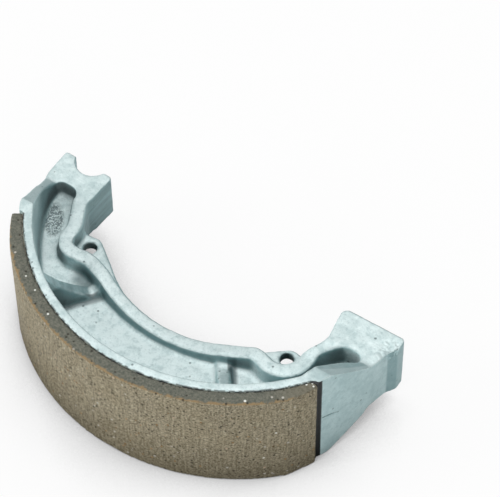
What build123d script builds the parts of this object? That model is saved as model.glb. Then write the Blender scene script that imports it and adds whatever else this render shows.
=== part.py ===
from build123d import *
import os
from math import cos, radians, sin, tan

os.makedirs("parts", exist_ok=True)

# Frame: origin on the drum axis at the lower side face, +X towards the anchor notch,
# +Y towards the middle of the lining, +Z up along the drum axis. Millimetres and degrees.

# Drum size and width of the shoe
DRUM_R = 55.0
WIDTH = 31.8
MID_Z = WIDTH / 2

# The plan below is drawn for a 55 mm drum and follows the drum when that size is changed
PLAN = DRUM_R / 55.0

# Adhesive and lining
LINING_T = 3.6
FILM_T = 0.2
FILM_INSET = 0.15
LINING_INNER_R = DRUM_R - LINING_T
LINING_START = 33.4
LINING_END = 143.0
LINING_TOE = (39.5, 46.0)
LINING_HEEL = 135.0

# Table that carries the lining
BED_R = LINING_INNER_R - FILM_T
TABLE_T = 2.9
TABLE_INNER_R = BED_R - TABLE_T
NOTCH_SHOULDER_R = BED_R + 1.1
CAM_SHOULDER_R = BED_R + 0.8
BED_START = 32.9
BED_END = 142.7
SHOULDER_START = 32.4
SHOULDER_END = 143.8
CAM_ARC_END = 144.8

# Web, pockets and draft
WEB_T = 3.1
DRAFT = 2.9
FOOT_R = 0.9
WEB_TOP = MID_Z + WEB_T / 2

# Anchor end: straight outer wall, block with a half-round notch
NOTCH_TIP = (50.25, 1.0)
NOTCH_INNER = (36.0, 1.8)
NOTCH_WALL_BEND_Y = 9.4
NOTCH_SHOULDER_LOW = (46.0, 23.4)
NOTCH_C = (42.89, 0.09)
NOTCH_R = 4.45
NOTCH_BLOCK_H = 11.6
NOTCH_RAMP = (10.6, 24.7)
NOTCH_POCKET_Y = 9.45
NOTCH_POCKET_X = 46.6

# Cam end: lug with a flat pad
PAD_FACE_Y = 4.8
PAD_OUTER_X = -49.9
PAD_BLOCK_H = 15.0
PAD_RAMP = (15.8, 27.6)
PAD_SLOPE = (15.0, 20.5)
LUG_STEP = [(-49.9, 8.2), (-48.4, 10.6)]
CAM_WALL_MID = (-45.4, 22.4)
PAD_POCKET = [(-35.0, 18.75), (-39.0, 14.3), (-43.75, 14.3), (-43.45, 16.2)]
PAD_POCKET_RADII = [2.0, 3.2, 1.4]
PAD_POCKET_WALL = (46.0, 151.5)
PAD_POCKET_TABLE = 140.0

# Wavy inner rim: centreline from the notch to the pad, with its corner radii
RIM_T = 3.8
RIM_C = (1.3, -11.9)
RIM_R = 43.45
RIM_THIN = 0.3
RIM_DIP = 2.4
RIM_DIP_HALF = 21.0
NOTCH_CHAIN = [(37.95, 1.7), (38.45, 12.0), (35.15, 18.7), (35.1, 25.65), (26.6, 24.85), (20.6, 27.05)]
NOTCH_RADII = [2.6, 5.0, 3.9, 8.0]
PAD_CHAIN = [(-12.5, 29.45), (-22.0, 25.95), (-32.6, 29.55), (-32.6, 20.3), (-36.05, 15.0), (-34.6, 4.3)]
PAD_RADII = [4.0, 5.7, 4.0, 6.0]

# Ears with the holes for the return springs
EAR_ARC_C = (0.0, -4.3)
EAR_ARC_R = 34.25
EAR_NOTCH = [(34.0, 16.5), (29.3, 16.3), (22.6, 21.4)]
EAR_PAD = [(-20.9, 22.83), (-27.1, 17.8), (-33.0, 19.3)]
SPRING_HOLE_R = 1.7
SPRING_HOLES = [(30.3, 19.75), (-27.3, 21.03)]

# Gusset ribs between table and rim
RIB_T = 2.2
RIBS = [((28.9, 38.85), (21.1, 29.35)), ((-23.7, 41.8), (-15.4, 30.2))]

# Ejector posts and round ejector marks on the lower side
POST_R = 2.4
POSTS = [(48.2, 53.4), (47.6, 119.5)]
POST_TOP_Z = 0.6
MARK_DEPTH = 0.2
NOTCH_MARK = ((38.68, 10.05), 2.1)
PAD_MARK = ((-39.9, 11.4), 2.4)


def polar(r, angle):
    return (r * cos(radians(angle)), r * sin(radians(angle)))


def plan(points):
    """Plan points moved with the size of the drum."""
    return [(x * PLAN, y * PLAN) for x, y in points]


def corners(radii):
    """Corner radii of the plan, which follow the drum as its points do."""
    return [radius * PLAN for radius in radii]


def arc(r, start, end):
    return ThreePointArc(polar(r, start), polar(r, (start + end) / 2), polar(r, end))


def joined(edges):
    line = edges[0]
    for edge in edges[1:]:
        line = line + edge
    return line


def rounded(points, radii):
    """Lines through the points, every inner corner rounded by its own radius."""
    edges = []
    start = Vector(*points[0])
    for index, radius in enumerate(radii, 1):
        corner = Vector(*points[index])
        back = (Vector(*points[index - 1]) - corner).normalized()
        ahead = (Vector(*points[index + 1]) - corner).normalized()
        half = radians(back.get_angle(ahead) / 2)
        inward = (back + ahead).normalized()
        a = corner + back * (radius / tan(half))
        b = corner + ahead * (radius / tan(half))
        middle = corner + inward * (radius / sin(half) - radius)
        edges.append(Line(start, a))
        edges.append(ThreePointArc(a, middle, b))
        start = b
    edges.append(Line(start, Vector(*points[-1])))
    return edges


def shifted(points, radii, side):
    """The same chain moved sideways, to the left of its direction."""
    normals = []
    for (x0, y0), (x1, y1) in zip(points, points[1:]):
        length = ((x1 - x0) ** 2 + (y1 - y0) ** 2) ** 0.5
        normals.append(((y0 - y1) / length, (x1 - x0) / length))
    moved = [(points[0][0] + normals[0][0] * side, points[0][1] + normals[0][1] * side)]
    moved_radii = []
    for index, radius in enumerate(radii, 1):
        (ax, ay), (bx, by) = normals[index - 1], normals[index]
        share = side / (1 + ax * bx + ay * by)
        x, y = points[index]
        moved.append((x + (ax + bx) * share, y + (ay + by) * share))
        left_turn = ax * by - ay * bx > 0
        moved_radii.append(radius - side if left_turn else radius + side)
    moved.append((points[-1][0] + normals[-1][0] * side, points[-1][1] + normals[-1][1] * side))
    return moved, moved_radii


def at_y(p, q, y):
    """Point on the line through p and q at the height y."""
    return (p[0] + (q[0] - p[0]) * (y - p[1]) / (q[1] - p[1]), y)


def rim_arc(a, b, side):
    """Rim line between the two chains; the hub side runs a little thinner in the middle."""
    thin = RIM_THIN if side > 0 else 0
    return ThreePointArc(a, (RIM_C[0] * PLAN, (RIM_C[1] + RIM_R) * PLAN - side + thin), b)


def prism_x(points, x0, x1):
    """Prism along X over an outline given as (y, z)."""
    face = make_face(Polyline(*[(x0, y, z) for y, z in points], close=True))
    return extrude(face, amount=x1 - x0, dir=(1, 0, 0))


def both_sides(solid):
    """The solid and its mirror image in the middle plane."""
    return solid + mirror(solid, about=Plane.XY.offset(MID_Z))


def blank():
    """Full-height silhouette of the casting without the ears."""
    notch, notch_r = shifted(plan(NOTCH_CHAIN), corners(NOTCH_RADII), RIM_T / 2)
    pad, pad_r = shifted(plan(PAD_CHAIN), corners(PAD_RADII), RIM_T / 2)
    tip, inner, low = plan([NOTCH_TIP, NOTCH_INNER, NOTCH_SHOULDER_LOW])
    face_y = PAD_FACE_Y * PLAN
    step = plan(LUG_STEP)
    first = rounded([tip, inner] + notch[1:], corners([0.8]) + notch_r)
    last = rounded(
        pad[:-1] + [at_y(pad[-1], pad[-2], face_y), (PAD_OUTER_X * PLAN, face_y)] + step,
        pad_r + corners([1.8, 1.3, 0.4]),
    )
    bend = (tip[0], NOTCH_WALL_BEND_Y * PLAN)
    outer = [
        ThreePointArc(step[1], plan([CAM_WALL_MID])[0], polar(CAM_SHOULDER_R, CAM_ARC_END)),
        arc(CAM_SHOULDER_R, CAM_ARC_END, SHOULDER_END),
        Line(polar(CAM_SHOULDER_R, SHOULDER_END), polar(BED_R, BED_END)),
        arc(BED_R, BED_END, BED_START),
        Line(polar(BED_R, BED_START), polar(NOTCH_SHOULDER_R, SHOULDER_START)),
        ThreePointArc(polar(NOTCH_SHOULDER_R, SHOULDER_START), polar(NOTCH_SHOULDER_R, 29.8), low),
    ]
    end = rounded([low, bend, tip, inner], corners([9.0, 0.7]))
    edges = first[1:] + [rim_arc(notch[-1], pad[0], RIM_T / 2)] + last + outer + end[:-1]
    edges.append(Line(end[-1] @ 0, first[0] @ 1))
    return extrude(make_face(joined(edges)), amount=WIDTH)


def pocket():
    """Space between table and rim above the web, with draft and a rounded foot."""
    side = -(RIM_T / 2 + 0.25)
    notch, notch_r = shifted(plan(NOTCH_CHAIN), corners(NOTCH_RADII), side)
    pad, pad_r = shifted(plan(PAD_CHAIN), corners(PAD_RADII), side)
    end_y = NOTCH_POCKET_Y * PLAN
    start = polar(TABLE_INNER_R, 17.0)
    first = rounded(
        [start, (NOTCH_POCKET_X * PLAN, end_y), at_y(notch[0], notch[1], end_y)] + notch[1:],
        corners([1.7, 2.3, 2.0]) + notch_r[1:],
    )
    pad_end = plan(PAD_POCKET)
    last = rounded(pad[:3] + pad_end, pad_r[:2] + corners(PAD_POCKET_RADII))
    wall_r, wall_angle = PAD_POCKET_WALL
    outer = [
        ThreePointArc(pad_end[-1], polar(wall_r * PLAN, wall_angle), polar(TABLE_INNER_R, PAD_POCKET_TABLE)),
        arc(TABLE_INNER_R, PAD_POCKET_TABLE, 17.0),
    ]
    edges = first + [rim_arc(notch[-1], pad[0], side)] + last + outer
    face = make_face(joined(edges))
    space = extrude(Plane.XY.offset(WEB_TOP) * face, amount=MID_Z, taper=-DRAFT)
    foot = space.faces().sort_by(Axis.Z)[0].edges()
    return fillet(foot, FOOT_R)


def rim_zone():
    """Region of the rim, bounded in the middle of the pockets."""
    middle_r = TABLE_INNER_R - 1.9
    low_y = 9.6 * PLAN
    inside = (-25.0 * PLAN, low_y)
    lug = (-39.5 * PLAN, PAD_SLOPE[1] * PLAN)
    edges = [
        Line(inside, (45.4 * PLAN, low_y)),
        Line((45.4 * PLAN, low_y), polar(middle_r, 14.0)),
        arc(middle_r, 14.0, 140.0),
        Line(polar(middle_r, 140.0), lug),
        Line(lug, (inside[0], lug[1])),
        Line((inside[0], lug[1]), inside),
    ]
    return make_face(joined(edges))


def height_cuts():
    """Everything above the ramps, the end blocks and the rim."""
    over = WIDTH + 1
    notch_top = MID_Z + NOTCH_BLOCK_H / 2
    pad_top = MID_Z + PAD_BLOCK_H / 2
    y0, y1 = [y * PLAN for y in NOTCH_RAMP]
    cuts = prism_x([(-5, notch_top), (y0, notch_top), (y1, WIDTH), (y1, over), (-5, over)], 34 * PLAN, 60)
    y0, y1 = [y * PLAN for y in PAD_RAMP]
    cuts += prism_x([(0, pad_top), (y0, pad_top), (y1, WIDTH), (y1, over), (0, over)], -60, -25 * PLAN)
    y0, y1 = [y * PLAN for y in PAD_SLOPE]
    cuts += prism_x([(y0, pad_top), (y1, notch_top), (y1, over), (y0, over)], -39.5 * PLAN, -25 * PLAN)
    cuts += extrude(Plane.XY.offset(notch_top) * rim_zone(), amount=over - notch_top)
    low, high = (0, notch_top - RIM_DIP), (RIM_DIP_HALF * PLAN, notch_top)
    segment = ThreePointArc((-high[0], high[1]), low, high) + Line(high, (-high[0], high[1]))
    dip = extrude(Plane.XZ.offset(-37 * PLAN) * make_face(segment), amount=27 * PLAN)
    return cuts + dip


def ears():
    notch_side, pad_side = plan(EAR_NOTCH), plan(EAR_PAD)
    top = (EAR_ARC_C[0] * PLAN, (EAR_ARC_C[1] + EAR_ARC_R) * PLAN)
    rim_a, rim_b = plan([PAD_CHAIN[0], NOTCH_CHAIN[-1]])
    edges = rounded(notch_side, corners([2.0]))
    edges.append(ThreePointArc(notch_side[-1], top, pad_side[0]))
    edges += rounded(pad_side, corners([2.2]))
    edges.append(Polyline(pad_side[-1], *plan([(-32.2, 27.4), (-22.2, 26.4)]), rim_a))
    edges.append(rim_arc(rim_a, rim_b, 0))
    edges.append(Polyline(rim_b, *plan([(26.8, 25.2), (34.2, 24.4)]), notch_side[0]))
    return extrude(Plane.XY.offset(MID_Z - WEB_T / 2) * make_face(joined(edges)), amount=WEB_T)


def rib(table_end, rim_end):
    """Gusset with drafted sides: concave ridge above the web, straight ridge below it."""
    along = Vector(*rim_end) - Vector(*table_end)
    length = along.length
    side = Plane(origin=(*table_end, 0), x_dir=along.normalized(), z_dir=(along.Y, -along.X, 0))
    rim_top = MID_Z + NOTCH_BLOCK_H / 2
    ridge = joined(
        [
            Polyline(
                (length + 0.9, rim_top - 0.3),
                (length + 0.9, MID_Z - NOTCH_BLOCK_H / 2),
                (-1.2, 0.4),
                (-1.2, WIDTH - 1.0),
            ),
            ThreePointArc((-1.2, WIDTH - 1.0), (length * 0.46, MID_Z + 6.1), (length - 1.8, WEB_TOP + 0.8)),
            ThreePointArc(
                (length - 1.8, WEB_TOP + 0.8),
                (length - 0.1, WEB_TOP + 1.7),
                (length + 0.9, rim_top - 0.3),
            ),
        ]
    )
    wide = RIB_T / 2 + MID_Z * tan(radians(DRAFT))
    end = Plane(origin=(*table_end, 0), x_dir=(-along.Y, along.X, 0), z_dir=along.normalized())
    section = make_face(
        Polyline(
            (-RIB_T / 2, WIDTH),
            (-wide, MID_Z),
            (-RIB_T / 2, 0),
            (RIB_T / 2, 0),
            (wide, MID_Z),
            (RIB_T / 2, WIDTH),
            close=True,
        )
    )
    bar = extrude(Plane(end.origin, x_dir=end.x_dir, z_dir=end.z_dir) * section, amount=length + 2)
    bar += extrude(end * section, amount=-2)
    return bar & extrude(side * make_face(ridge), amount=RIB_T * 2, both=True)


def casting():
    body = blank()
    body -= both_sides(pocket())
    body -= both_sides(height_cuts())
    body -= Pos(NOTCH_C[0] * PLAN, NOTCH_C[1] * PLAN, MID_Z) * Cylinder(NOTCH_R, WIDTH)
    body += ears()
    for table_end, rim_end in RIBS:
        body += rib(*plan([table_end, rim_end]))
    for r, angle in POSTS:
        height = MID_Z - POST_TOP_Z
        body += Pos(*polar(r * PLAN, angle), POST_TOP_Z + height / 2) * Cylinder(POST_R, height)
    for hole in plan(SPRING_HOLES):
        body -= Pos(*hole, MID_Z) * Cylinder(SPRING_HOLE_R, WEB_T * 3)
    for (centre, r), height in ((NOTCH_MARK, NOTCH_BLOCK_H), (PAD_MARK, PAD_BLOCK_H)):
        z = MID_Z - height / 2 + MARK_DEPTH / 2
        body -= Pos(*plan([centre])[0], z) * Cylinder(r, MARK_DEPTH)
    return body


def film():
    lip_r = LINING_INNER_R + 0.9
    edges = [
        arc(LINING_INNER_R, LINING_START - 0.3, LINING_END - 1.0),
        Polyline(
            polar(LINING_INNER_R, LINING_END - 1.0),
            polar(lip_r, LINING_END),
            polar(lip_r + 0.2, LINING_END + 0.15),
            polar(CAM_SHOULDER_R, SHOULDER_END),
            polar(BED_R, BED_END),
        ),
        arc(BED_R, BED_END, LINING_START - 0.3),
        Line(polar(BED_R, LINING_START - 0.3), polar(LINING_INNER_R, LINING_START - 0.3)),
    ]
    return extrude(Plane.XY.offset(FILM_INSET) * make_face(joined(edges)), amount=WIDTH - 2 * FILM_INSET)


def lining():
    lip_r = LINING_INNER_R + 0.9
    worn, full = LINING_TOE
    edges = [
        arc(LINING_INNER_R, LINING_START, LINING_END - 1.0),
        Polyline(
            polar(LINING_INNER_R, LINING_END - 1.0),
            polar(lip_r, LINING_END),
            polar(DRUM_R - 1.6, LINING_END),
            polar(DRUM_R, LINING_HEEL),
        ),
        arc(DRUM_R, LINING_HEEL, full),
        ThreePointArc(polar(DRUM_R, full), polar(DRUM_R - 0.45, worn), polar(DRUM_R - 1.0, LINING_START)),
        Line(polar(DRUM_R - 1.0, LINING_START), polar(LINING_INNER_R, LINING_START)),
    ]
    return extrude(make_face(joined(edges)), amount=WIDTH)


parts = {
    "shoe_casting": casting(),
    "friction_lining": lining(),
    "adhesive_film": film(),
}

for name, shape in parts.items():
    shape.label = name
    export_step(shape, f"parts/{name}.step")
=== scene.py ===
import math

import bpy
from mathutils import Matrix, Vector

# Lengths are in millimetres and angles in degrees, unless a name says otherwise
MM = 0.001

# Main sizes of the part: width, drum radius, radius inside the table, ends of the lining and of the bead
WIDTH = 31.8
DRUM_R = 55.0
TABLE_INNER_R = 48.4
LINING_START, LINING_END = 33.0, 142.4
BEAD_START, BEAD_END = 141.5, 144.85

# Camera, fitted to the photograph
IMAGE_WIDTH_PX = 500
FOCAL_PX = 2636.63
SENSOR_MM = 36.0
AZIMUTH = 213.5
ELEVATION = 53.442
ROLL = -0.363
DISTANCE_M = 0.66004
AIM_M = (0.00479, -0.01199, 0.0)

# Lamps: name, place in metres and power in watts
LAMP_SIZE_M = 0.5
LAMP_TARGET_M = (0.0, 0.03, 0.01)
LAMPS = [
    ("key", (0.12, -0.2, 1.25), 10.8),
    ("left_fill", (0.9, 0.75, 0.5), 7.4),
    ("right_fill", (-0.7, 0.95, 0.45), 5.0),
]
WORLD_STRENGTH = 0.18

# Floor: its size, how far it lies below the part, and the reach of the part's shade on it
FLOOR_SIZE_M = 6
FLOOR_DROP = 0.08
FLOOR_SHADE_REACH = 40

# Fineness of the dressed surfaces, and the share of its faces that the casting keeps
CASTING_VOXEL = 0.26
CASTING_FACES_KEPT = 0.34
LINING_VOXEL = 0.32

# Lower sides of the end blocks: which side, level and end of the flat, slope and end of the ramp beside it
BLOCK_EDGE_X = 33.0
BLOCK_DROP = 1.4
BLOCKS = [
    {"sign": 1.0, "flat_z": 10.1, "flat_y": 10.6, "slope": 0.716, "last_y": 20.0},
    {"sign": -1.0, "flat_z": 8.4, "flat_y": 15.8, "slope": 0.712, "last_y": 24.5},
]
TORN_LUG = (-49.0, 9.5, 23.4)

# Pits and dents of the casting and light chips of the lining: place and radius
PITS = [
    ((17.8, 34.0, 17.45), 0.35),
    ((-42.79, 29.28, 16.1), 0.4),
    ((-43.3, 28.1, 15.8), 0.3),
    ((-43.78, 26.88, 15.5), 0.28),
    ((-44.3, 25.5, 14.8), 0.28),
    ((-46.5, 18.81, 12.98), 0.35),
    ((-46.94, 17.19, 14.26), 0.3),
    ((32.47, 38.85, 31.8), 0.3),
    ((31.25, 40.13, 31.8), 0.35),
    ((24.14, 44.77, 31.8), 0.3),
    ((-8.87, 34.45, 17.45), 0.3),
    ((10.22, 32.87, 17.45), 0.3),
    ((-50.1, 8.0, 10.5), 0.45),
]
CHIPS = [
    ((-39.97, 32.79, 31.8), 0.35),
    ((-40.97, 31.82, 31.8), 0.3),
    ((-41.59, 32.38, 31.8), 0.3),
    ((-30.74, 44.13, 31.8), 0.4),
    ((31.26, 42.9, 31.8), 0.3),
    ((27.13, 45.01, 31.8), 0.3),
    ((20.59, 48.9, 31.8), 0.35),
    ((-41.35, 36.26, 22.67), 0.3),
    ((-36.98, 40.71, 19.26), 0.35),
    ((-34.8, 42.6, 9.1), 0.35),
]

# Scratch in the outer wall of the cam end: deep from the first point to the second, shallow to the third
SCRATCH = ((-42.6, 29.7, 16.2), (-43.6, 27.3, 15.7), (-44.4, 25.3, 14.8))

# Rough patch in the pocket of the anchor end: middle, direction, half length and half width
ROUGH_PATCH = (42.6, 17.5)
ROUGH_PATCH_AXIS = (-0.54, 0.84)
ROUGH_PATCH_HALVES = (5.4, 2.5)

# Ribs, each as a line with its shaded side on the right
RIB_LINES = [((28.9, 38.85), (21.1, 29.35)), ((-23.7, 41.8), (-15.4, 30.2))]

# Places of painted shade: pocket of the anchor end, nook beside the first rib, land beside the cam end's
# pocket
POCKET_END = (44.5, 12.5, 24.0)
NOOK = (25.6, 27.4, 17.45)
LAND = (-43.6, 26.4, 31.8)
HUB_WALL_NORMAL = (-0.6, -0.8)

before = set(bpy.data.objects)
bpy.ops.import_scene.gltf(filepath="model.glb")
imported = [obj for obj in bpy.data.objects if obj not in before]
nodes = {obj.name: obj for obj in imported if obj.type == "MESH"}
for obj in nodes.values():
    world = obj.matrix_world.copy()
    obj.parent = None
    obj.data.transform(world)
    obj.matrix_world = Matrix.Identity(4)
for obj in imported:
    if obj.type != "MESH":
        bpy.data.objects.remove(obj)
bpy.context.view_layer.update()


def srgb(r, g, b):
    """Linear colour of an 8-bit screen colour."""
    shares = (c / 255 for c in (r, g, b))
    return tuple(c / 12.92 if c < 10 / 255 else ((c + 0.055) / 1.055) ** 2.4 for c in shares) + (1,)


class Graph:
    """Helper for node trees: values may be numbers or sockets."""

    def __init__(self, tree):
        self.tree = tree

    def node(self, kind, inputs=None, **props):
        made = self.tree.nodes.new(kind if "Node" in kind else "ShaderNode" + kind)
        for key, value in props.items():
            setattr(made, key, value)
        for key, value in (inputs or {}).items():
            socket = made.inputs[key]
            if isinstance(value, bpy.types.NodeSocket):
                self.tree.links.new(value, socket)
            else:
                socket.default_value = value
        return made

    def math(self, operation, a, b=0.0, clamp=False):
        return self.node("Math", {0: a, 1: b}, operation=operation, use_clamp=clamp).outputs[0]

    def plus(self, a, b):
        return self.math("ADD", a, b)

    def minus(self, a, b):
        return self.math("SUBTRACT", a, b)

    def larger(self, a, b):
        return self.math("MAXIMUM", a, b)

    def times(self, *values):
        result = values[0]
        for value in values[1:]:
            result = self.math("MULTIPLY", result, value)
        return result

    def span(self, value, low, high, a=0.0, b=1.0):
        """a below low, b above high, and straight between them."""
        return self.node("MapRange", {0: value, 1: low, 2: high, 3: a, 4: b}).outputs[0]

    def soft(self, value, low, high, a=0.0, b=1.0):
        """As span, with a smooth run."""
        inputs = {0: value, 1: low, 2: high, 3: a, 4: b}
        return self.node("MapRange", inputs, interpolation_type="SMOOTHSTEP").outputs[0]

    def noise(self, vector, scale, detail, roughness):
        inputs = {"Vector": vector, "Scale": scale, "Detail": detail, "Roughness": roughness}
        return self.node("TexNoise", inputs).outputs[0]

    def voronoi(self, vector, scale):
        """Distance to the nearest cell's centre, and three numbers drawn for that cell."""
        cells = self.node("TexVoronoi", {"Vector": vector, "Scale": scale})
        return cells.outputs["Distance"], self.parts(cells.outputs["Color"])

    def vector(self, x, y, z):
        return self.node("CombineXYZ", {0: x, 1: y, 2: z}).outputs[0]

    def scaled(self, vector, factor):
        return self.node("VectorMath", {0: vector, 3: factor}, operation="SCALE").outputs[0]

    def parts(self, vector):
        return self.node("SeparateXYZ", {0: vector}).outputs

    def distance(self, a, b):
        return self.node("VectorMath", {0: a, 1: b}, operation="DISTANCE").outputs["Value"]

    def near(self, vector, point, inner, outer):
        """1 within inner of the point, falling to 0 at outer."""
        return self.soft(self.distance(vector, point), inner, outer, 1.0, 0.0)

    def near_line(self, vector, start, end, inner, outer):
        """1 within inner of the straight line between two points, falling to 0 at outer."""
        step = Vector(end) - Vector(start)
        away = self.node("VectorMath", {0: vector, 1: start}, operation="SUBTRACT").outputs[0]
        dot = self.node("VectorMath", {0: away, 1: tuple(step)}, operation="DOT_PRODUCT").outputs["Value"]
        share = self.math("MULTIPLY", dot, 1 / step.length_squared, clamp=True)
        return self.soft(self.distance(away, self.scaled(tuple(step), share)), inner, outer, 1.0, 0.0)


class Shader(Graph):
    """A material with its position on the part: x, y, z, and radius and angle about the drum axis."""

    def __init__(self, name):
        self.material = bpy.data.materials.new(name)
        self.material.use_nodes = True
        super().__init__(self.material.node_tree)
        self.tree.nodes.clear()
        self.pos = self.scaled(self.node("TexCoord").outputs["Object"], 1 / MM)
        self.x, self.y, self.z = self.parts(self.pos)
        self.r = self.math("SQRT", self.plus(self.times(self.x, self.x), self.times(self.y, self.y)))
        self.angle = self.times(self.math("ARCTAN2", self.y, self.x), 180 / math.pi)

    def mix(self, factor, a, b):
        return self.node("Mix", {0: factor, 6: a, 7: b}, data_type="RGBA").outputs[2]

    def layered(self, colour, *layers):
        """The colour under layers, each a factor and a colour laid over what is below."""
        for factor, over in layers:
            colour = self.mix(factor, colour, over)
        return colour

    def plan_axes(self, origin, direction):
        """Distances in plan from the origin, along a unit direction and across it."""
        x, y = self.minus(self.x, origin[0]), self.minus(self.y, origin[1])
        along = self.plus(self.times(x, direction[0]), self.times(y, direction[1]))
        across = self.plus(self.times(x, direction[1]), self.times(y, -direction[0]))
        return along, across

    def finished(self, colour, roughness, height, height_mm, metallic=0.0):
        """The material, with its colour, roughness and bumps."""
        bumps = self.node("Bump", {"Strength": 0.5, "Distance": height_mm * MM, "Height": height}).outputs[0]
        inputs = {"Base Color": colour, "Metallic": metallic, "Roughness": roughness, "Normal": bumps}
        return self.surface(self.node("BsdfPrincipled", inputs).outputs[0])

    def surface(self, shader):
        self.node("OutputMaterial", {"Surface": shader})
        return self.material


def shade_beside_ribs(s, steep):
    """Mask of painted shade: 1 on the web and the steep faces along the shaded side of the ribs."""
    low_or_steep = s.larger(s.soft(s.z, 20.0, 18.5), s.times(steep, s.soft(s.z, 25.5, 24.0)))
    beside = 0.0
    for (ax, ay), (bx, by) in RIB_LINES:
        length = math.hypot(bx - ax, by - ay)
        along, across = s.plan_axes((ax, ay), ((bx - ax) / length, (by - ay) / length))
        band = s.times(s.soft(across, 0.7, 1.2), s.soft(across, 2.6, 3.6, 1.0, 0.0))
        ends = s.times(s.soft(along, 0.0, 1.5), s.soft(along, length, length + 2.0, 1.0, 0.0))
        beside = s.larger(beside, s.times(band, ends, low_or_steep))
    return beside


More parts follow.
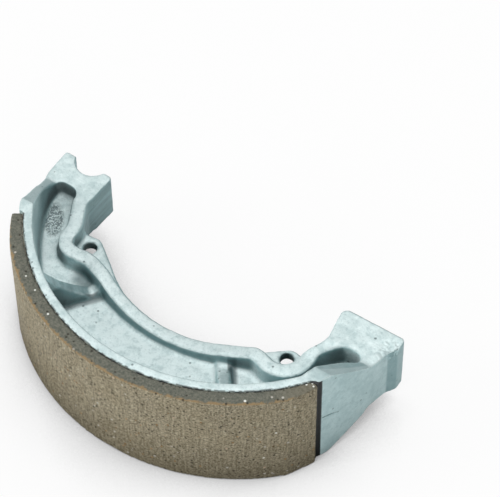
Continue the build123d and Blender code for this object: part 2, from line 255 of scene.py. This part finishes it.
def casting_material():
    s = Shader("cast_aluminium")
    nx, ny, nz = s.parts(s.node("NewGeometry").outputs["Normal"])
    steep = s.soft(s.math("ABSOLUTE", nz), 0.4, 0.85, 1.0, 0.0)
    inner = s.soft(s.r, TABLE_INNER_R, TABLE_INNER_R + 0.6, 1.0, 0.0)
    fine = s.noise(s.pos, 1.7, 5.0, 0.72)
    cloud = s.noise(s.pos, 0.55, 5.0, 0.62)
    patch = s.noise(s.pos, 0.16, 3.0, 0.55)

    # Cast skin, lighter on the web and the inner rim
    web = s.times(inner, s.soft(s.y, 15.0, 22.0), s.soft(s.x, -34.0, -26.0))
    skin = s.layered(
        s.mix(s.span(patch, 0.35, 0.65), srgb(190, 208, 208), srgb(208, 224, 224)),
        (s.times(web, 0.75), srgb(214, 229, 229)),
        (s.span(cloud, 0.36, 0.5, 0.6, 0.0), srgb(166, 188, 189)),
        (s.span(cloud, 0.54, 0.66, 0.0, 0.6), srgb(219, 233, 233)),
        (s.span(fine, 0.34, 0.46, 0.5, 0.0), srgb(150, 174, 176)),
    )

    # Pits, the scratch and the rough patch
    speck_distance, speck_draw = s.voronoi(s.pos, 0.55)
    chosen = s.span(speck_draw[0], 0.84, 0.86)
    pit = s.times(s.span(speck_distance, 0.1, 0.19, 1.0, 0.0), chosen)
    for point, radius in PITS:
        pit = s.larger(pit, s.near(s.pos, point, radius * 0.5, radius))
    shallow = s.times(s.near_line(s.pos, SCRATCH[1], SCRATCH[2], 0.08, 0.3), 0.6)
    scratch = s.larger(s.near_line(s.pos, SCRATCH[0], SCRATCH[1], 0.1, 0.3), shallow)
    along, across = s.plan_axes(ROUGH_PATCH, ROUGH_PATCH_AXIS)
    half_length, half_width = ROUGH_PATCH_HALVES
    place = s.vector(s.times(along, 1 / half_length), s.times(across, 1 / half_width), 0)
    rough_patch = s.times(s.near(place, (0, 0, 0), 0.7, 1.15), s.soft(nz, 0.6, 0.9), s.soft(s.z, 19.5, 18.5))
    stipple = s.times(rough_patch, s.span(s.noise(s.pos, 2.6, 3.0, 0.6), 0.45, 0.54))
    marked = s.layered(
        skin,
        (s.times(pit, 0.7), srgb(78, 94, 96)),
        (s.times(scratch, 0.85), srgb(60, 76, 78)),
        (s.times(rough_patch, 0.5), srgb(190, 206, 206)),
        (s.times(stipple, 0.9), srgb(86, 102, 104)),
    )

    # Painted shade on walls that face the hub, with casting streaks along them
    hubward_x, hubward_y = HUB_WALL_NORMAL
    hubward = s.plus(s.times(nx, hubward_x), s.times(ny, hubward_y))
    along_wall = s.plus(s.times(s.x, -hubward_y), s.times(s.y, hubward_x))
    streak = s.noise(s.vector(s.times(along_wall, 0.13), s.times(s.z, 0.75), 0), 1.0, 4.0, 0.6)
    wall = s.mix(s.span(streak, 0.38, 0.6), srgb(74, 108, 112), srgb(146, 178, 181))
    hub_side_shade = s.times(s.soft(hubward, 0.18, 0.6), inner)

    # Painted shade on other faces: pocket side of the rim, pocket end, nook, land, ramp, lug and its step,
    # far edge
    outward = s.math("DIVIDE", s.plus(s.times(nx, s.x), s.times(ny, s.y)), s.r)
    pocket_side = s.times(s.soft(outward, 0.5, 0.9), inner)
    pocket_end = s.times(s.near(s.pos, POCKET_END, 5.0, 10.0), s.soft(s.z, 31.0, 30.0), steep)
    nook = s.times(s.near(s.pos, NOOK, 1.6, 5.4), s.soft(s.z, 24.0, 22.0))
    land = s.times(s.near(s.pos, LAND, 4.0, 7.5), s.soft(nz, 0.8, 0.95))
    ramp = s.times(s.soft(ny, -0.3, -0.5), s.soft(nz, 0.55, 0.7), s.soft(s.y, 8.0, 12.0))
    lug = s.times(s.soft(s.x, -48.0, -48.7), s.soft(s.y, 10.9, 10.4), s.soft(nx, -0.6, -0.8))
    lug_step = s.times(lug, s.soft(s.y, 8.0, 8.6))
    far_edge = s.times(s.soft(s.y, 5.35, 4.95), s.soft(s.x, -33.0, -35.0))

    # Painted shade in hollows and at the bottom of walls, from how much of the surroundings the surface
    # itself hides
    hollow = s.node("AmbientOcclusion", {"Distance": 7.0 * MM}, samples=12, only_local=True).outputs["AO"]
    deep = s.soft(hollow, 0.2, 0.75, 1.0, 0.0)
    foot_shade = s.times(s.soft(hollow, 0.3, 0.62, 0.75, 0.0), s.minus(1.0, steep))
    # Patchy strength of the painted shade on the hub walls, land, ramp, lug and far edge
    shade_patchiness = s.span(cloud, 0.38, 0.6, 0.75, 1.1)
    # Painted shade and painted light laid over the marked skin
    shaded = s.layered(
        marked,
        (s.times(hub_side_shade, shade_patchiness, 0.66), wall),
        (s.times(pocket_side, 0.72), srgb(56, 84, 88)),
        (s.times(pocket_end, 0.65), srgb(30, 44, 46)),
        (s.times(nook, 0.75), srgb(62, 86, 89)),
        (s.times(land, shade_patchiness, 0.4), srgb(96, 128, 131)),
        (s.times(ramp, shade_patchiness, 0.42), srgb(92, 130, 134)),
        (s.times(lug, shade_patchiness, 0.36), srgb(84, 116, 120)),
        (s.times(lug_step, shade_patchiness, 0.55), srgb(70, 96, 100)),
        (s.times(far_edge, shade_patchiness, 0.6), srgb(74, 96, 98)),
        (s.times(shade_beside_ribs(s, steep), 0.72), srgb(44, 62, 65)),
        (s.times(deep, steep, 0.75), srgb(34, 50, 52)),
        (foot_shade, srgb(66, 90, 93)),
        # Painted light: a paler, bluer tone on steep faces that are open
        (s.times(steep, s.soft(hollow, 0.5, 0.8), 0.3), srgb(158, 210, 215)),
    )

    # Adhesive squeezed out at the cam end, and the broken dark line of it along the table's edge, partly
    # adhesive and partly painted shade of the gap beside the lining
    ragged = s.plus(s.angle, s.times(fine, 0.4))
    bead = s.times(s.soft(s.r, 50.9, 51.3), s.soft(ragged, BEAD_END, BEAD_END + 0.3, 1.0, 0.0))
    bead = s.times(bead, s.soft(s.angle, BEAD_START, BEAD_START + 0.5), s.soft(nz, 0.5, 0.8, 1.0, 0.0))
    broken = s.span(s.noise(s.pos, 0.9, 3.0, 0.6), 0.47, 0.52)
    line = s.times(s.soft(s.r, 50.75, 51.15), broken, s.soft(s.z, WIDTH - 0.8, WIDTH - 0.4))
    line = s.times(line, s.soft(s.angle, LINING_END, LINING_END + 0.4, 1.0, 0.0))
    line = s.times(line, s.soft(s.angle, LINING_START, LINING_START + 0.6))
    colour = s.layered(shaded, (bead, srgb(24, 28, 28)), (s.times(line, 0.8), srgb(50, 58, 56)))

    height = s.plus(s.plus(fine, s.times(cloud, 0.6)), s.times(stipple, -1.4))
    height = s.minus(height, s.times(s.larger(pit, scratch), 1.5))
    return s.finished(colour, 0.5, height, 0.14, metallic=0.15)


def lining_material():
    s = Shader("friction_lining")
    length = s.times(s.angle, math.radians(1) * DRUM_R)
    streak = s.noise(s.vector(s.times(length, 1.9), s.times(s.z, 0.14), s.r), 1.0, 4.0, 0.65)
    grain = s.noise(s.pos, 1.9, 6.0, 0.78)
    broad = s.noise(s.pos, 0.12, 2.0, 0.5)

    # Ground outer face: tan and streaked across, with painted light towards the anchor end and painted shade
    # near the lower side
    face = s.layered(
        s.mix(s.span(streak, 0.36, 0.64), srgb(124, 116, 94), srgb(162, 153, 129)),
        (s.span(broad, 0.35, 0.65, 0.0, 0.25), srgb(140, 128, 96)),
        # Painted light towards the anchor end
        (s.soft(s.angle, 62.0, 36.0, 0.0, 0.45), srgb(186, 177, 156)),
        (s.span(grain, 0.36, 0.49, 0.95, 0.0), srgb(62, 56, 40)),
        (s.span(grain, 0.53, 0.65, 0.0, 0.8), srgb(200, 192, 168)),
        # Painted shade near the lower side
        (s.span(s.z, 2.0, 17.0, 0.34, 0.0), srgb(66, 58, 36)),
    )

    # Side face: grey, with a rusty line at the outer edge and a dark one at the adhesive, partly the
    # adhesive and partly painted shade of the gap
    frayed = s.plus(s.r, s.span(s.noise(s.pos, 0.8, 4.0, 0.7), 0.3, 0.7, -0.6, 0.6))
    glue_and_gap_edge = s.plus(s.r, s.span(grain, 0.3, 0.7, -0.25, 0.25))
    flank = s.layered(
        s.mix(s.span(grain, 0.38, 0.62), srgb(76, 80, 72), srgb(116, 116, 104)),
        (s.times(s.soft(frayed, 54.2, 54.8), 0.75), srgb(150, 124, 84)),
        (s.soft(s.angle, 128.0, 141.0, 0.0, 0.3), srgb(134, 122, 98)),
        (s.times(s.soft(glue_and_gap_edge, 51.45, 51.75, 1.0, 0.0), 0.7), srgb(52, 54, 50)),
    )

    # Dark, pale and rusty grains, and the chips
    normal_z = s.math("ABSOLUTE", s.parts(s.node("NewGeometry").outputs["Normal"])[2])
    cell_distance, draw = s.voronoi(s.pos, 0.8)
    spot = s.span(cell_distance, 0.16, 0.3, 1.0, 0.0)
    colour = s.layered(
        s.mix(s.soft(normal_z, 0.5, 0.8), face, flank),
        (s.times(spot, s.span(draw[0], 0.56, 0.58), 0.85), srgb(44, 39, 30)),
        (s.times(spot, s.span(draw[1], 0.92, 0.93), 0.8), srgb(200, 197, 186)),
        (s.times(spot, s.span(draw[2], 0.9, 0.91), 0.5), srgb(170, 124, 66)),
    )
    for point, radius in CHIPS:
        colour = s.mix(s.near(s.pos, point, radius * 0.5, radius), colour, srgb(226, 228, 220))
    return s.finished(colour, 0.85, s.plus(grain, s.times(streak, 0.7)), 0.2)


def film_material():
    s = Shader("adhesive")
    smear = s.span(s.noise(s.pos, 0.75, 4.0, 0.65), 0.5, 0.56)
    smear = s.times(smear, s.soft(s.angle, BEAD_START - 0.5, BEAD_START + 0.5, 1.0, 0.0))
    colour = s.mix(smear, srgb(20, 24, 24), srgb(120, 128, 120))
    return s.finished(colour, 0.55, s.noise(s.pos, 2.0, 3.0, 0.6), 0.15)


def floor_material():
    """White paper for the camera, with painted shade where the part hides the sky from it."""
    s = Shader("floor_paper")
    camera_ray = s.node("LightPath").outputs["Is Camera Ray"]
    open_sky = s.node("AmbientOcclusion", {"Distance": FLOOR_SHADE_REACH * MM}, samples=8).outputs["AO"]
    shade = s.span(open_sky, 0.5, 0.95, 0.05, 0.8)
    diffuse = s.node("BsdfDiffuse", {"Color": s.vector(shade, shade, shade)})
    white = s.node("Emission", {"Color": (1, 1, 1, 1), "Strength": 1.0})
    share = s.times(camera_ray, s.soft(open_sky, 0.35, 0.72, 0.25, 0.92))
    return s.surface(s.node("MixShader", {0: share, 1: diffuse.outputs[0], 2: white.outputs[0]}).outputs[0])


def dress(obj, material):
    obj.data.materials.clear()
    obj.data.materials.append(material)


def remesh(obj, voxel):
    modifier = obj.modifiers.new("remesh", "REMESH")
    modifier.mode = "VOXEL"
    modifier.voxel_size = voxel * MM
    modifier.use_smooth_shade = True


def thin_out(obj, kept):
    modifier = obj.modifiers.new("thin_out", "DECIMATE")
    modifier.ratio = kept


def reshape(obj, build):
    """Geometry nodes that move the points of the surface; build returns the moved geometry."""
    tree = bpy.data.node_groups.new(build.__name__, "GeometryNodeTree")
    tree.interface.new_socket(name="Geometry", in_out="INPUT", socket_type="NodeSocketGeometry")
    tree.interface.new_socket(name="Geometry", in_out="OUTPUT", socket_type="NodeSocketGeometry")
    start = tree.nodes.new("NodeGroupInput").outputs[0]
    end = tree.nodes.new("NodeGroupOutput").inputs[0]
    tree.links.new(build(Graph(tree), start), end)
    modifier = obj.modifiers.new(tree.name, "NODES")
    modifier.node_group = tree


def point_position(g):
    return g.scaled(g.node("GeometryNodeInputPosition").outputs[0], 1 / MM)


def blurred(g, geometry, iterations, weight):
    """Points eased towards their neighbours."""
    position = g.node("GeometryNodeInputPosition").outputs[0]
    inputs = {"Value": position, "Iterations": iterations, "Weight": weight}
    blur = g.node("GeometryNodeBlurAttribute", inputs, data_type="FLOAT_VECTOR")
    eased = next(o for o in blur.outputs if o.enabled)
    return g.node("GeometryNodeSetPosition", {"Geometry": geometry, "Position": eased}).outputs[0]


def raised(g, geometry, height):
    """Points moved along the surface normal."""
    offset = g.scaled(g.node("GeometryNodeInputNormal").outputs[0], g.times(height, MM))
    return g.node("GeometryNodeSetPosition", {"Geometry": geometry, "Offset": offset}).outputs[0]


def under_block(g, geometry, sign, flat_z, flat_y, slope, last_y):
    """Deepens the lower side of an end block and lets the ramp beside it run out."""
    x, y, z = g.parts(point_position(g))
    beside = g.soft(g.times(x, sign), BLOCK_EDGE_X - 1.0, BLOCK_EDGE_X + 1.0)
    ramp = g.larger(g.minus(y, flat_y), 0.0)
    above = g.plus(g.minus(z, flat_z), g.times(ramp, slope))
    share = g.times(beside, g.span(above, 0.5, 3.5, 1.0, 0.0), g.span(y, flat_y, last_y, 1.0, 0.0))
    offset = g.vector(0.0, 0.0, g.times(share, -BLOCK_DROP * MM))
    return g.node("GeometryNodeSetPosition", {"Geometry": geometry, "Offset": offset}).outputs[0]


def casting_surface(g, geometry):
    """Lower block sides, eased corners round the web, the skin's waves and the torn lug."""
    x, y, z = g.parts(point_position(g))
    low = g.soft(g.math("ABSOLUTE", g.minus(z, WIDTH / 2)), 8.0, 10.0, 1.0, 0.0)
    away = g.soft(y, 9.5, 15.0)
    for block in BLOCKS:
        geometry = under_block(g, geometry, **block)
    geometry = blurred(g, geometry, 1, 0.8)
    geometry = blurred(g, geometry, 12, g.times(low, away, 0.9))
    position = point_position(g)
    wavy = g.span(g.noise(position, 0.2, 2.0, 0.5), 0.3, 0.7, -0.03, 0.03)
    rough = g.span(g.noise(position, 0.9, 3.0, 0.6), 0.3, 0.7, -0.035, 0.035)
    lug = g.near(position, TORN_LUG, 1.5, 4.5)
    torn = g.times(g.span(g.noise(position, 0.7, 4.0, 0.7), 0.35, 0.65, -0.45, 0.15), lug)
    return raised(g, geometry, g.plus(g.plus(wavy, rough), torn))


def lining_surface(g, geometry):
    """Eased edges, and a ground face that is a little wavy and rough."""
    geometry = blurred(g, geometry, 2, 0.7)
    position = point_position(g)
    wavy = g.span(g.noise(position, 0.3, 2.0, 0.5), 0.3, 0.7, -0.025, 0.025)
    rough = g.span(g.noise(position, 1.1, 4.0, 0.75), 0.3, 0.7, -0.06, 0.06)
    return raised(g, geometry, g.plus(wavy, rough))


def make_camera():
    a, e, roll = map(math.radians, (AZIMUTH, ELEVATION, ROLL))
    back = Vector((math.sin(a) * math.cos(e), -math.cos(a) * math.cos(e), math.sin(e)))
    right = Vector((math.cos(a), math.sin(a), 0))
    up = back.cross(right)
    turned_right = right * math.cos(roll) + up * math.sin(roll)
    turned_up = up * math.cos(roll) - right * math.sin(roll)
    camera = bpy.data.objects.new("camera", bpy.data.cameras.new("camera"))
    bpy.context.scene.collection.objects.link(camera)
    rotation = Matrix((turned_right, turned_up, back)).transposed().to_4x4()
    camera.matrix_world = Matrix.Translation(Vector(AIM_M) + back * DISTANCE_M) @ rotation
    camera.data.sensor_width = SENSOR_MM
    camera.data.lens = FOCAL_PX / IMAGE_WIDTH_PX * SENSOR_MM
    camera.data.clip_start = 0.1
    camera.data.clip_end = 20
    bpy.context.scene.camera = camera


def area_light(name, place, power):
    lamp = bpy.data.lights.new(name, "AREA")
    lamp.size = LAMP_SIZE_M
    lamp.energy = power
    obj = bpy.data.objects.new(name, lamp)
    bpy.context.scene.collection.objects.link(obj)
    obj.location = place
    obj.rotation_euler = (Vector(LAMP_TARGET_M) - Vector(place)).to_track_quat("-Z", "Y").to_euler()


def make_floor():
    bpy.ops.mesh.primitive_plane_add(size=FLOOR_SIZE_M, location=(0, 0, -FLOOR_DROP * MM))
    floor = bpy.context.object
    floor.name = "floor"
    dress(floor, floor_material())


def make_world():
    """White for the camera, a plain soft light for the object."""
    world = bpy.data.worlds.new("world")
    bpy.context.scene.world = world
    world.use_nodes = True
    g = Graph(world.node_tree)
    camera_ray = g.node("LightPath").outputs["Is Camera Ray"]
    strength = g.node("MapRange", {0: camera_ray, 3: WORLD_STRENGTH, 4: 1.0}).outputs[0]
    background = g.tree.nodes["Background"]
    background.inputs["Color"].default_value = (1, 1, 1, 1)
    g.tree.links.new(strength, background.inputs["Strength"])


casting, lining, film = (nodes[name] for name in ("shoe_casting", "friction_lining", "adhesive_film"))
dress(casting, casting_material())
dress(lining, lining_material())
dress(film, film_material())

remesh(casting, CASTING_VOXEL)
reshape(casting, casting_surface)
thin_out(casting, CASTING_FACES_KEPT)
remesh(lining, LINING_VOXEL)
reshape(lining, lining_surface)

make_camera()
make_floor()
make_world()
for name, place, power in LAMPS:
    area_light(name, place, power)
bpy.context.scene.view_settings.view_transform = "Standard"
